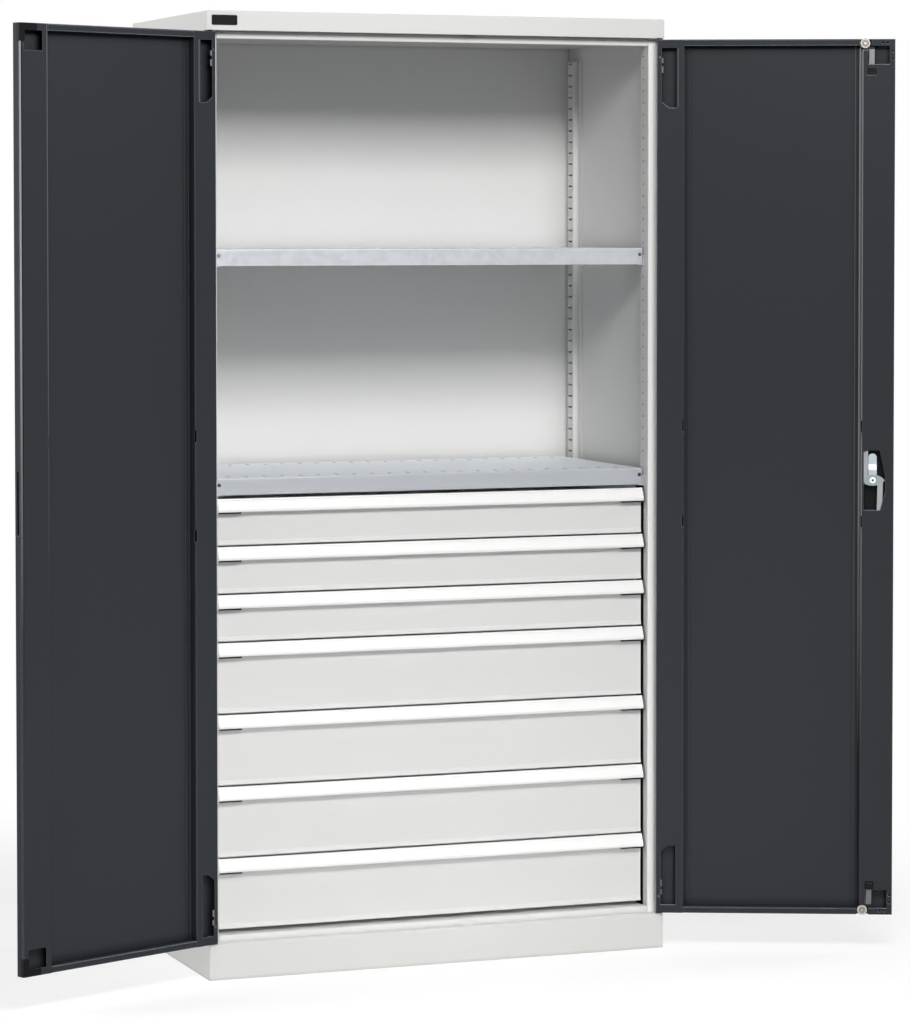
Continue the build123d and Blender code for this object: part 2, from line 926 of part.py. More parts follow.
def lock_window():
    """Window over the latch, with one small and two long slanting corners."""
    near, far = lock_inset_span(lock_window_reach)
    low, high = lock_height_span(lock_window_half_height)
    points = [
        (near, low),
        (near, high - lock_window_chamfer[1]),
        (near + lock_window_chamfer[0], high),
        (far - lock_window_upper_slant[0], high),
        (far, high - lock_window_upper_slant[1]),
        (far, low + lock_window_lower_slant[1]),
        (far - lock_window_lower_slant[0], low),
    ]
    return door_plate(points, face_cut_depth())


def roller_notch(end):
    """Corner left open for the roller, through the lip, the face and the end wall."""
    depth = (foot_depths[0] - 2 * rod_clearance, door_thickness)
    return door_block(free_span(roller_corner_setback), depth, end_span(end, (0, roller_corner_drop)))


def hinge_pin(end):
    """Pin on a block, with the slide plate that draws it in."""
    body_z = body_top + pin_past_body if end == "top" else plinth_height - pin_past_body
    low, high = sorted((from_end(end, pin_block_drop[1]), body_z))
    pin = rod(pin_diameter, (pivot_x, pivot_y, low), (pivot_x, pivot_y, high))
    pin += door_block(pin_block_inset, pin_block_depth, end_span(end, pin_block_drop))
    plate_depth = (pin_block_depth[1] - slide_plate_thickness, pin_block_depth[1])
    plate_end = slide_lug_drops[-1][1]
    pin += door_block(slide_plate_inset, plate_depth, end_span(end, (pin_block_drop[0], plate_end)))
    lug_inset = (slide_plate_inset[0], slide_lug_inset)
    for drops in slide_lug_drops:
        pin += door_block(lug_inset, plate_depth, end_span(end, drops))
    return pin


def corner_block(end):
    """Plastic angle that wraps round the left door's free corner."""
    outer = door_free_edge + corner_block_proud
    depth = (door_thickness, door_thickness + corner_block_proud)
    across_inset = (door_free_edge - corner_block_reach, outer)
    across = door_block(across_inset, depth, end_span(end, (door_sheet, corner_block_height)))
    drops = (door_sheet, corner_block_drop)
    down = door_block((door_free_edge - corner_block_leg, outer), depth, end_span(end, drops))
    wrap_depth = (door_thickness - corner_block_wrap, depth[1])
    wrap = door_block((door_free_edge, outer), wrap_depth, end_span(end, drops))
    hole_inset = across_inset[0] + corner_hole_inset
    hole_z = from_end(end, (door_sheet + corner_block_height) / 2)
    return across + down + wrap - door_rod(corner_hole_diameter, hole_inset, hole_z, depth)


# Lock, rods and rollers on the right-hand door


def lock_hole():
    """Hole in the skin for the lock housing."""
    z = lock_height_span(housing_half_height)
    return door_block(lock_inset_span(housing_reach), (0, door_sheet), z)


def tongue_slot():
    """Slot in the free edge wall for the lock's tongue."""
    inset = (door_free_edge - door_sheet, door_free_edge)
    depth = (tongue_tip_depths[0] - tongue_gap, tongue_tip_depths[1] + tongue_gap)
    return door_block(inset, depth, lock_height_span(tongue_slot_half_height))


def lock_housing():
    """Plate outside the door, a dish behind it and a boss with the spindle's bore."""
    plate_z = lock_height_span(housing_plate_half_height)
    plate_depth = (-housing_plate_thickness, 0)
    plate_inset = lock_inset_span(housing_plate_reach)
    plate = rounded_door_plate(plate_inset, plate_depth, plate_z, housing_plate_corner)
    near, far = lock_inset_span(housing_reach)
    z = lock_height_span(housing_half_height)
    dish = door_block((near, far), (0, housing_depth), z)
    pocket_z = (z[0] + housing_sheet, z[1] - housing_sheet)
    pocket_inset = (near + housing_sheet, far - housing_sheet)
    dish -= door_block(pocket_inset, (housing_sheet, housing_depth), pocket_z)
    boss = door_rod(housing_boss_diameter, lock_inset, lock_height, (0, housing_boss_depth))
    bore_depth = (-housing_plate_thickness, housing_boss_depth)
    bore = door_rod(spindle_diameter + 2 * spindle_fit, lock_inset, lock_height, bore_depth)
    return plate + dish + boss - bore


def wing_handle():
    """Wing handle outside the door, on the spindle, with a bore for the lock plug."""
    spindle = door_rod(spindle_diameter, lock_inset, lock_height, (spindle_start, cam_depths[1]))
    boss = door_rod(handle_boss_diameter, lock_inset, lock_height, handle_boss_depths)
    wing = rounded_door_plate(
        lock_inset_span((wing_half_length, wing_half_length)),
        wing_depths,
        lock_height_span(wing_half_width),
        wing_corner,
    )
    bore_depth = (handle_boss_depths[0], plug_bore_end)
    bore = door_rod(plug_diameter + 2 * plug_fit, lock_inset, lock_height, bore_depth)
    return spindle + boss + wing - bore


def lock_plug():
    """Plug with a keyway, which turns in the handle."""
    plug = door_rod(plug_diameter, lock_inset, lock_height, plug_depths)
    half_width_key, half_length = keyway[0] / 2, keyway[1] / 2
    depth = (plug_depths[0], plug_depths[0] + keyway_depth)
    inset = lock_inset_span((half_width_key, half_width_key))
    return plug - door_block(inset, depth, lock_height_span(half_length))


def tongue():
    """Flat tongue with a step outwards near its middle and a round tip."""
    half = tongue_width / 2
    foot = lock_height - half
    tip = lock_height + tongue_reach
    step_start, step_end = [lock_height + rise for rise in tongue_step]
    side = [
        (tongue_depths[0], foot),
        (tongue_depths[1], foot),
        (tongue_depths[1], step_start),
        (tongue_tip_depths[1], step_end),
        (tongue_tip_depths[1], tip),
        (tongue_tip_depths[0], tip),
        (tongue_tip_depths[0], step_end),
        (tongue_depths[0], step_start),
    ]
    x = half_width - lock_inset
    bar = profile_bar([(front + depth, z) for depth, z in side], (x - half, x + half))
    depth = (tongue_tip_depths[0], tongue_depths[1])
    return bar & rounded_door_plate(lock_inset_span((half, half)), depth, (foot, tip), half - fit_gap)


def cam():
    """Pointed oval plate, cut off on its hinge side."""
    radius = (cam_tip**2 + cam_half_height**2) / (2 * cam_half_height)
    offset = radius - cam_half_height
    oval = door_rod(2 * radius, lock_inset, lock_height + offset, cam_depths)
    oval &= door_rod(2 * radius, lock_inset, lock_height - offset, cam_depths)
    keep = door_block(lock_inset_span((cam_cut, cam_tip)), cam_depths, lock_height_span(cam_half_height))
    return oval & keep


def hex_socket():
    """Six-sided socket in the screw head."""
    hexagon = RegularPolygon(socket_across / 2, 6, major_radius=False)
    plane = Plane.XZ.offset(-front - screw_depth)
    return extrude(plane * Pos(half_width - lock_inset, lock_height) * hexagon, amount=socket_depth)


def latch():
    """Tongue, hub, cam and screw head, one riveted stack on the spindle."""
    hub = door_rod(hub_diameter, lock_inset, lock_height, (tongue_depths[1], cam_depths[0]))
    head = door_rod(screw_diameter, lock_inset, lock_height, (cam_depths[1], screw_depth))
    head = fillet(head.edges().filter_by(GeomType.CIRCLE).sort_by(Axis.Y)[-1], screw_edge)
    stack = tongue() + hub + cam() + head - hex_socket()
    for inset in lock_inset_span((crank_radius, crank_radius)):
        stack += door_rod(crank_pin_diameter, inset, lock_height, (cam_depths[1], crank_pin_end))
    bore_depth = (tongue_depths[0], cam_depths[1] + spindle_fit)
    bore = door_rod(spindle_diameter + 2 * spindle_fit, lock_inset, lock_height, bore_depth)
    return stack - bore


def rod_inset(end, z):
    """Inset of the rod's middle line, which slants a little between lock and end."""
    side = -1 if end == "top" else 1
    start = lock_inset + side * crank_radius
    finish = from_free(rod_end_setbacks[end])
    z_end = from_end(end, roller_corner_drop)
    return start + (finish - start) * (z - lock_height) / (z_end - lock_height)


def lock_rod(end):
    """Flat rod from the lock to the door's end, stepped outwards to carry the roller."""
    half = rod_width / 2
    toward_lock = -1 if end == "top" else 1
    z_start = lock_height + toward_lock * rod_overlap
    z_taper = z_start - toward_lock * rod_taper[1]
    z_end = from_end(end, step_drop[1])
    start = rod_inset(end, z_start)
    finish = rod_inset(end, z_end)
    points = [
        (start - half + rod_taper[0], z_start),
        (start + half - rod_taper[0], z_start),
        (start + half, z_taper),
        (finish + half, z_end),
        (finish - half, z_end),
        (start - half, z_taper),
    ]
    bar = door_plate(points, rod_depths)
    step_inset = (finish - half, finish + half)
    step = door_block(step_inset, (foot_depths[0], rod_depths[1]), end_span(end, step_drop))
    roller_inset = from_free(roller_setback)
    arm_inset = (roller_inset - arm_half_width, roller_inset + arm_half_width)
    foot = door_block((arm_inset[0], finish + half), foot_depths, end_span(end, foot_drop))
    arm = door_block(arm_inset, foot_depths, end_span(end, arm_drop))
    z = from_end(end, roller_drop)
    head_start = roller_depths[1] + axle_head_gap
    axle = door_rod(roller_axle_diameter, roller_inset, z, (foot_depths[1], head_start))
    head = door_rod(axle_head[0], roller_inset, z, (head_start, head_start + axle_head[1]))
    return bar + step + foot + arm + axle + head


def roller(end):
    inset = from_free(roller_setback)
    z = from_end(end, roller_drop)
    wheel = door_rod(roller_diameter, inset, z, roller_depths)
    wheel = fillet(wheel.edges().filter_by(GeomType.CIRCLE), roller_edge)
    dish_depth = (roller_depths[1] - roller_dish[1], roller_depths[1])
    wheel -= door_rod(roller_dish[0], inset, z, dish_depth)
    return wheel - door_rod(roller_axle_diameter + 2 * roller_fit, inset, z, roller_depths)


def guide_inset(end, half):
    low, high = end_span(end, guide_drops[end])
    middle = rod_inset(end, (low + high) / 2)
    return middle - half, middle + half


def guide_window(end):
    """Hole in the lock channel's face, where the guide shows."""
    z = end_span(end, guide_drops[end])
    return door_block(guide_inset(end, guide_half_width), (door_rim, door_thickness), z)


def rod_guide(end):
    """Plastic guide through the channel's face, with a slot for the rod and a slit over it."""
    z = end_span(end, guide_drops[end])
    outer_depth = (rod_depths[0] - 4 * fit_gap, door_thickness + guide_proud)
    body = door_block(guide_inset(end, guide_half_width), outer_depth, z)
    slot_depth = (rod_depths[0] - fit_gap, rod_depths[1] + fit_gap)
    slot_inset = guide_inset(end, rod_width / 2 + rod_clearance)
    body -= door_block(slot_inset, slot_depth, z)
    slit_drops = [guide_drops[end][1] - distance for distance in guide_slit]
    slit_depth = (slot_depth[1], outer_depth[1])
    return body - door_block(guide_inset(end, rod_width / 2), slit_depth, end_span(end, slit_drops))


def left_door_nodes():
    closed = {
        "left_door_skin": door_skin([tongue_slot()]),
        "left_door_hinge_channel": hinge_channel(),
        "left_door_free_channel": free_channel(),
        "left_door_hinge_pins": group([hinge_pin("top"), hinge_pin("bottom")]),
        "left_door_corner_blocks": group([corner_block("top"), corner_block("bottom")]),
    }
    return {name: mirrored(opened(shape)) for name, shape in closed.items()}


def right_door_nodes():
    skin_cuts = [tongue_slot(), lock_hole(), roller_notch("top"), roller_notch("bottom")]
    closed = {
        "right_door_skin": door_skin(skin_cuts),
        "right_door_hinge_channel": hinge_channel(),
        "right_door_lock_channel": lock_channel(),
        "right_door_hinge_pins": group([hinge_pin("top"), hinge_pin("bottom")]),
        "lock_housing": lock_housing(),
        "rod_guides": group([rod_guide("top"), rod_guide("bottom")]),
        "wing_handle": wing_handle(),
        "lock_plug": lock_plug(),
        "latch": latch(),
        "upper_rod": lock_rod("top"),
        "lower_rod": lock_rod("bottom"),
        "upper_roller": roller("top"),
        "lower_roller": roller("bottom"),
    }
    return {name: opened(shape) for name, shape in closed.items()}


def cabinet_nodes():
    return {
        "top_cap": top_cap(),
        "plinth": plinth(),
        "right_side_panel": side_panel(),
        "left_side_panel": mirrored(side_panel()),
        "back_panel": back_panel(),
        "floor_deck": floor_deck(),
        "ceiling_panel": ceiling_panel(),
        "rear_posts": both_sides([rear_post()]),
        "shelves": group([shelf(upper_shelf_top), shelf(lower_shelf_top)]),
        "shelf_clips": shelf_clips(),
        "badge_plate": badge_plate(),
        "hinge_bushes": hinge_bushes(),
        "fixed_runners": fixed_runners(),
        "runner_strips": runner_strips(),
    }


def main():
    os.makedirs("parts", exist_ok=True)
    nodes = cabinet_nodes() | left_door_nodes() | right_door_nodes() | drawer_nodes()
    for name, shape in nodes.items():
        export_step(shape, f"parts/{name}.step")
    print(len(nodes), "nodes written")


main()
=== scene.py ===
import json
import math

import bpy
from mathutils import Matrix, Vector


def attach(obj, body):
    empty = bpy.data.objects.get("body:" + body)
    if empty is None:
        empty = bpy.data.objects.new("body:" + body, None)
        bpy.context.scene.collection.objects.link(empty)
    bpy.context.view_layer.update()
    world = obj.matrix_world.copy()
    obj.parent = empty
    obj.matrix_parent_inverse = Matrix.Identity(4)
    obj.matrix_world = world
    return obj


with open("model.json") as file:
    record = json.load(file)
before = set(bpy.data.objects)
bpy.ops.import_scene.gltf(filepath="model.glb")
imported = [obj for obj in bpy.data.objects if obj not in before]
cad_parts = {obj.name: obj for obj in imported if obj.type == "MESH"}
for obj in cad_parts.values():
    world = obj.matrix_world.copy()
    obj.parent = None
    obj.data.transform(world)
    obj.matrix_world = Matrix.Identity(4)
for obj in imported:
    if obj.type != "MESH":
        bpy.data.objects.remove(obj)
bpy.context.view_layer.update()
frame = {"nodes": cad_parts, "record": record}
nodes = frame["nodes"]
print("frame loaded:", len(nodes), "nodes")


def feed(tree, value, socket):
    # links an output to a socket, or sets a plain value on it
    if hasattr(value, "links"):
        tree.links.new(value, socket)
    else:
        socket.default_value = value


def addMath(tree, operation, first, second=0):
    node = tree.nodes.new("ShaderNodeMath")
    node.operation = operation
    feed(tree, first, node.inputs[0])
    feed(tree, second, node.inputs[1])
    return node.outputs[0]


def addRamp(tree, value, fromSpan, toSpan=(0.0, 1.0), curve="LINEAR"):
    # maps fromSpan to toSpan, clamped at both ends
    node = tree.nodes.new("ShaderNodeMapRange")
    node.interpolation_type = curve
    feed(tree, value, node.inputs["Value"])
    for label, bound in zip(("From Min", "From Max", "To Min", "To Max"), (*fromSpan, *toSpan)):
        feed(tree, bound, node.inputs[label])
    return node.outputs["Result"]


def addMeasure(tree, operation, first, second=(0, 0, 0)):
    # one number from two vectors
    node = tree.nodes.new("ShaderNodeVectorMath")
    node.operation = operation
    feed(tree, first, node.inputs[0])
    feed(tree, second, node.inputs[1])
    return node.outputs["Value"]


def addShade(tree, colour, factor):
    # colour times a grey factor
    node = tree.nodes.new("ShaderNodeVectorMath")
    node.operation = "SCALE"
    feed(tree, colour, node.inputs[0])
    feed(tree, factor, node.inputs["Scale"])
    return node.outputs[0]


def splitAxes(tree, vector):
    node = tree.nodes.new("ShaderNodeSeparateXYZ")
    feed(tree, vector, node.inputs[0])
    return node.outputs


def objectPlace(tree):
    return tree.nodes.new("ShaderNodeTexCoord").outputs["Object"]


def mixShaders(tree, share, first, second, surface):
    node = tree.nodes.new("ShaderNodeMixShader")
    for value, socket in zip((share, first, second), node.inputs):
        feed(tree, value, socket)
    feed(tree, node.outputs[0], surface)


# camera: fitted to the corners of the cabinet and its doors in the photo
photoCamera = {
    "place": (-2.7828, -7.6915, 1.5622),
    "yaw": -20.783,
    "pitchDown": 2.243,
    "roll": 0.019,
    "focalPixels": 3771.9,
    "longSidePixels": 1024,
    "shiftPixels": 140,
    "sensor": 36,
    "farClip": 100,
}


def makeCamera(spec):
    data = bpy.data.cameras.new("photoCamera")
    data.sensor_width = spec["sensor"]
    data.lens = spec["focalPixels"] * spec["sensor"] / spec["longSidePixels"]
    data.shift_y = -spec["shiftPixels"] / spec["longSidePixels"]
    data.clip_end = spec["farClip"]
    camera = bpy.data.objects.new("photoCamera", data)
    bpy.context.scene.collection.objects.link(camera)
    camera.location = spec["place"]
    turn = (90 - spec["pitchDown"], spec["roll"], spec["yaw"])
    camera.rotation_euler = [math.radians(angle) for angle in turn]
    bpy.context.scene.camera = camera


# lights: a wide soft panel high in front, a gridded one low in front, and one at each side
studio = {
    "roomGrey": 0.055,
    "panels": [
        {"name": "frontPanel", "place": (-0.2, -3.1, 3.05), "aim": (0, 0, 0.9),
         "size": (2.0, 0.8), "watts": 97, "spread": 180},
        {"name": "lowPanel", "place": (-0.6, -4.2, 0.9), "aim": (0, 0, 0.02),
         "size": (2.4, 0.9), "watts": 6.0, "spread": 40},
        {"name": "leftPanel", "place": (-4.5, 0.6, 2.2), "aim": (0, 0, 1.2),
         "size": (2.0, 2.0), "watts": 125, "spread": 180},
        {"name": "rightPanel", "place": (4.5, 0.6, 2.2), "aim": (0, 0, 1.2),
         "size": (2.0, 2.0), "watts": 80, "spread": 180},
    ],
}


def makeLights(spec):
    for panel in spec["panels"]:
        data = bpy.data.lights.new(panel["name"], "AREA")
        data.shape = "RECTANGLE"
        data.size, data.size_y = panel["size"]
        data.energy = panel["watts"]
        data.spread = math.radians(panel["spread"])
        lamp = bpy.data.objects.new(panel["name"], data)
        bpy.context.scene.collection.objects.link(lamp)
        lamp.location = panel["place"]
        aim = Vector(panel["aim"]) - Vector(panel["place"])
        lamp.rotation_euler = aim.to_track_quat("-Z", "Y").to_euler()


def seenWhite(tree):
    # 1 for rays that come straight from the camera, a mirror or glass
    path = tree.nodes.new("ShaderNodeLightPath")
    either = addMath(tree, "MAXIMUM", path.outputs["Is Camera Ray"], path.outputs["Is Glossy Ray"])
    return addMath(tree, "MAXIMUM", either, path.outputs["Is Transmission Ray"])


def makeRoom(grey):
    world = bpy.data.worlds.new("paleRoom")
    bpy.context.scene.world = world
    world.use_nodes = True
    tree = world.node_tree
    tree.nodes.clear()
    out = tree.nodes.new("ShaderNodeOutputWorld")
    rooms = []
    for tone in (grey, 1):
        room = tree.nodes.new("ShaderNodeBackground")
        room.inputs["Color"].default_value = (tone, tone, tone, 1)
        rooms.append(room.outputs[0])
    mixShaders(tree, seenWhite(tree), *rooms, out.inputs["Surface"])


# floor: keeps the shadow near the cabinet and runs out to plain white
floorSpec = {"size": 60, "grey": 0.34, "roughness": 0.9, "glow": 0.715, "fade": (1.0, 2.2)}


def makeFloor(spec):
    bpy.ops.mesh.primitive_plane_add(size=spec["size"], location=(0, 0, 0))
    floor = bpy.context.object
    floor.name = "studioFloor"
    material = bpy.data.materials.new("studioFloor")
    material.use_nodes = True
    tree = material.node_tree
    shader = tree.nodes["Principled BSDF"]
    shader.inputs["Base Color"].default_value = (spec["grey"],) * 3 + (1,)
    shader.inputs["Roughness"].default_value = spec["roughness"]
    shader.inputs["Specular IOR Level"].default_value = 0
    shader.inputs["Emission Color"].default_value = (1, 1, 1, 1)
    seen = seenWhite(tree)
    feed(tree, addMath(tree, "MULTIPLY", seen, spec["glow"]), shader.inputs["Emission Strength"])
    away = addMeasure(tree, "LENGTH", objectPlace(tree))
    far = addMath(tree, "MULTIPLY", addRamp(tree, away, spec["fade"], curve="SMOOTHSTEP"), seen)
    white = tree.nodes.new("ShaderNodeEmission")
    surface = tree.nodes["Material Output"].inputs["Surface"]
    mixShaders(tree, far, shader.outputs[0], white.outputs[0], surface)
    floor.data.materials.append(material)


makeCamera(photoCamera)
makeLights(studio)
makeRoom(studio["roomGrey"])
makeFloor(floorSpec)
bpy.context.scene.view_settings.view_transform = "Standard"
print("studio ready")

# materials: every finish is procedural and reads Object coordinates
socketKinds = {"value": "NodeSocketFloat", "colour": "NodeSocketColor", "vector": "NodeSocketVector"}


def newGroup(name, inputs, outputs):
    group = bpy.data.node_groups.new(name, "ShaderNodeTree")
    for label, (kind, value) in inputs.items():
        socket = group.interface.new_socket(label, in_out="INPUT", socket_type=socketKinds[kind])
        socket.default_value = value
    for label, kind in outputs.items():
        group.interface.new_socket(label, in_out="OUTPUT", socket_type=socketKinds[kind])
    start = group.nodes.new("NodeGroupInput")
    end = group.nodes.new("NodeGroupOutput")
    return group, start.outputs, end.inputs


def addNoise(tree, place, grain):
    noise = tree.nodes.new("ShaderNodeTexNoise")
    noise.inputs["Scale"].default_value, noise.inputs["Detail"].default_value = grain
    feed(tree, place, noise.inputs["Vector"])
    return noise.outputs["Fac"]


# the part of 0 to 1 that a noise mostly fills
noiseSpan = (0.3, 0.7)

# masks for a painted highlight on bends and cut edges and for painted shade in corners, from
# the cosine of an edge's turn, how open a corner is, and how far a rim turns upwards
edgeSpec = {"samples": 4, "cosine": (0.995, 0.90), "open": (0.95, 0.45), "rise": (0.03, 0.22)}


def edgeGroup(spec):
    group, given, made = newGroup(
        "edgesAndCorners",
        {"Radius": ("value", 0.001), "Reach": ("value", 0.006)},
        {"Edge": "value", "Rim": "value", "Corner": "value", "Normal": "vector"},
    )
    bevel = group.nodes.new("ShaderNodeBevel")
    bevel.samples = spec["samples"]
    feed(group, given["Radius"], bevel.inputs["Radius"])
    rounded = bevel.outputs["Normal"]
    facing = group.nodes.new("ShaderNodeNewGeometry").outputs["Normal"]
    turned = addRamp(group, addMeasure(group, "DOT_PRODUCT", rounded, facing), spec["cosine"])
    hollow = group.nodes.new("ShaderNodeAmbientOcclusion")
    hollow.samples = spec["samples"]
    feed(group, given["Reach"], hollow.inputs["Distance"])
    corner = addRamp(group, hollow.outputs["AO"], spec["open"])
    outside = addMath(group, "SUBTRACT", 1.0, corner)
    # a rim is an edge that turns upwards, to the high lights, and it gets a painted highlight
    rise = addMath(group, "SUBTRACT", splitAxes(group, rounded)["Z"], splitAxes(group, facing)["Z"])
    upward = addRamp(group, rise, spec["rise"])
    feed(group, addMath(group, "MULTIPLY", turned, outside), made["Edge"])
    feed(group, addMath(group, "MULTIPLY", upward, outside), made["Rim"])
    feed(group, corner, made["Corner"])
    feed(group, rounded, made["Normal"])
    return group


edgePaintedLightGroup = edgeGroup(edgeSpec)

# in these a noise is its scale and detail, and a span is what it varies over
powderSpec = {
    "cloud": (2.3, 3), "tone": (0.985, 1.015),
    "speck": (260, 2), "uneven": (0.92, 1.08),
    "peel": (900, 2),
}


def powderGroup(spec):
    group, given, made = newGroup(
        "powderCoat",
        {"Color": ("colour", (0.8, 0.8, 0.8, 1)), "Roughness": ("value", 0.45),
         "Painted Edge Highlight": ("value", 1.0), "Painted Rim Highlight": ("value", 1.0), "Corner Shade": ("value", 1.0),
         "Radius": ("value", 0.001), "Reach": ("value", 0.008)},
        {"Color": "colour", "Roughness": "value", "Height": "value", "Normal": "vector"},
    )
    place = objectPlace(group)
    edges = group.nodes.new("ShaderNodeGroup")
    edges.node_tree = edgePaintedLightGroup
    feed(group, given["Radius"], edges.inputs["Radius"])
    feed(group, given["Reach"], edges.inputs["Reach"])
    # painted light: edges and upward rims are lightened as painted highlights, and corners are darkened as
    # painted shade
    tone = 1.0
    for mask, label in (("Edge", "Painted Edge Highlight"), ("Rim", "Painted Rim Highlight"), ("Corner", "Corner Shade")):
        change = addMath(group, "SUBTRACT", given[label], 1.0)
        tone = addMath(group, "ADD", tone, addMath(group, "MULTIPLY", edges.outputs[mask], change))
    cloud = addRamp(group, addNoise(group, place, spec["cloud"]), noiseSpan, spec["tone"])
    speck = addRamp(group, addNoise(group, place, spec["speck"]), noiseSpan, spec["uneven"])
    feed(group, addShade(group, given["Color"], addMath(group, "MULTIPLY", cloud, tone)), made["Color"])
    feed(group, addMath(group, "MULTIPLY", given["Roughness"], speck), made["Roughness"])
    feed(group, addNoise(group, place, spec["peel"]), made["Height"])
    feed(group, edges.outputs["Normal"], made["Normal"])
    return group


spangleSpec = {"tone": (0.985, 1.015), "roughness": (0.32, 0.46), "upward": (0.5, 0.9), "peel": (500, 2)}


def spangleGroup(spec):
    group, given, made = newGroup(
        "zincSpangle",
        {"Color": ("colour", (0.6, 0.6, 0.6, 1)), "Scale": ("value", 90.0), "Painted Top Highlight": ("value", 1.0)},
        {"Color": "colour", "Roughness": "value", "Height": "value"},
    )
    place = objectPlace(group)
    cells = group.nodes.new("ShaderNodeTexVoronoi")
    feed(group, place, cells.inputs["Vector"])
    feed(group, given["Scale"], cells.inputs["Scale"])
    cell = group.nodes.new("ShaderNodeSeparateColor")
    feed(group, cells.outputs["Color"], cell.inputs["Color"])
    facing = splitAxes(group, group.nodes.new("ShaderNodeTexCoord").outputs["Normal"])
    # upward-facing zinc is lightened as painted light from above
    upward = addRamp(group, facing["Z"], spec["upward"], (1.0, given["Painted Top Highlight"]))
    tone = addRamp(group, cell.outputs["Red"], noiseSpan, spec["tone"])
    feed(group, addShade(group, given["Color"], addMath(group, "MULTIPLY", tone, upward)), made["Color"])
    feed(group, addRamp(group, cell.outputs["Green"], noiseSpan, spec["roughness"]), made["Roughness"])
    feed(group, addNoise(group, place, spec["peel"]), made["Height"])
    return group


plasticSpec = {
    "cloud": (30, 2), "tone": (0.95, 1.05),
    "speck": (120, 2), "uneven": (0.9, 1.1),
    "peel": (1400, 2),
}


def plasticGroup(spec):
    group, given, made = newGroup(
        "mouldedPlastic",
        {"Color": ("colour", (0.02, 0.02, 0.02, 1)), "Roughness": ("value", 0.5)},
        {"Color": "colour", "Roughness": "value", "Height": "value"},
    )
    place = objectPlace(group)
    cloud = addRamp(group, addNoise(group, place, spec["cloud"]), noiseSpan, spec["tone"])
    speck = addRamp(group, addNoise(group, place, spec["speck"]), noiseSpan, spec["uneven"])
    feed(group, addShade(group, given["Color"], cloud), made["Color"])
    feed(group, addMath(group, "MULTIPLY", given["Roughness"], speck), made["Roughness"])
    feed(group, addNoise(group, place, spec["peel"]), made["Height"])
    return group


# the open doors: places on them are given as if they were shut, in metres from the hinge
doorFrames = {
    "right": {"hinge": (0.504, -0.270, 0), "opening": 156.3, "hingeDepth": 0.0075},
    "left": {"hinge": (-0.504, -0.270, 0), "opening": -156.3, "hingeDepth": 0.0075},
}
# on a door: depth, distance from an axis, distance from the hinge, height; on the body: |x|, x, y
placeLabels = ("Depth", "Radius", "Across", "Height", "Side", "X", "Y")


def doorPlaceGroup(side, spec):
    group, given, made = newGroup(
        side + "DoorPlace",
        {"Axis": ("vector", (0, 0, 0)), "Mirror Height": ("value", 0.0)},
        dict.fromkeys(placeLabels, "value"),
    )
    place = objectPlace(group)
    plain = splitAxes(group, place)
    feed(group, addMath(group, "ABSOLUTE", plain["X"]), made["Side"])
    feed(group, plain["X"], made["X"])
    feed(group, plain["Y"], made["Y"])
    shut = group.nodes.new("ShaderNodeMapping")
    shut.vector_type = "TEXTURE"
    shut.inputs["Location"].default_value = spec["hinge"]
    shut.inputs["Rotation"].default_value = (0, 0, math.radians(spec["opening"]))
    feed(group, place, shut.inputs["Vector"])
    door = splitAxes(group, shut.outputs["Vector"])
    feed(group, addMath(group, "ADD", door["Y"], spec["hingeDepth"]), made["Depth"])
    feed(group, addMath(group, "ABSOLUTE", door["X"]), made["Across"])
    feed(group, door["Z"], made["Height"])
    # the axis is there twice, as far above the mirror height as below it
    above = addMath(group, "SUBTRACT", door["Z"], given["Mirror Height"])
    flat = group.nodes.new("ShaderNodeCombineXYZ")
    feed(group, door["X"], flat.inputs["X"])
    feed(group, addMath(group, "ABSOLUTE", above), flat.inputs["Z"])
    feed(group, addMeasure(group, "DISTANCE", flat.outputs[0], given["Axis"]), made["Radius"])
    return group


doorPlaces = {side: doorPlaceGroup(side, spec) for side, spec in doorFrames.items()}
finishGroups = {
    "powder": powderGroup(powderSpec),
    "spangle": spangleGroup(spangleSpec),
    "plastic": plasticGroup(plasticSpec),
}

# base finishes, which several pieces vary
# the body coat's edges are lightened as a painted highlight and its corners darkened as painted shade
bodyCoat = {
    "group": "powder", "colour": (0.745, 0.742, 0.725), "Roughness": 0.5, "bump": 0.04, "gloss": 0.3,
    "Painted Edge Highlight": 1.14, "Corner Shade": 0.75,
}
# the door coat's edges and upward rims are lightened as painted highlights, and its recesses darkened as
# painted shade
doorCoat = {
    "group": "powder", "colour": (0.0355, 0.0388, 0.0450), "Roughness": 0.5, "bump": 0.05, "gloss": 0.06,
    "Painted Edge Highlight": 3.6, "Painted Rim Highlight": 8.0, "Corner Shade": 0.30, "Radius": 0.0024, "Reach": 0.022,
}
# the sheet zinc's upward faces are lightened as painted light from above
sheetZinc = {
    "group": "spangle", "colour": (0.54, 0.56, 0.59), "Scale": 90, "metallic": 0.4, "bump": 0.02,
    "gloss": 0.3, "Painted Top Highlight": 1.62,
}
fineZinc = {
    "group": "spangle", "colour": (0.30, 0.31, 0.33), "Scale": 400, "metallic": 0.4, "bump": 0.03,
    "gloss": 0.2,
}
blackPlastic = {
    "group": "plastic", "colour": (0.008, 0.008, 0.0085), "Roughness": 0.5, "bump": 0.05, "gloss": 0.08,
}
# axes in the right door: the axles of its two rollers, and the latch's spindle
rollerAxles = {"axis": (-0.4375, 0, 0.9307), "mirror": 1.017}
spindle = {"axis": (-0.4567, 0, 1.0137)}
# the depth past which a channel's face lies, and the height of the upper hinge windows
channelFace = (0.0195, None)
windowHeight = (1.8115, 1.9390)

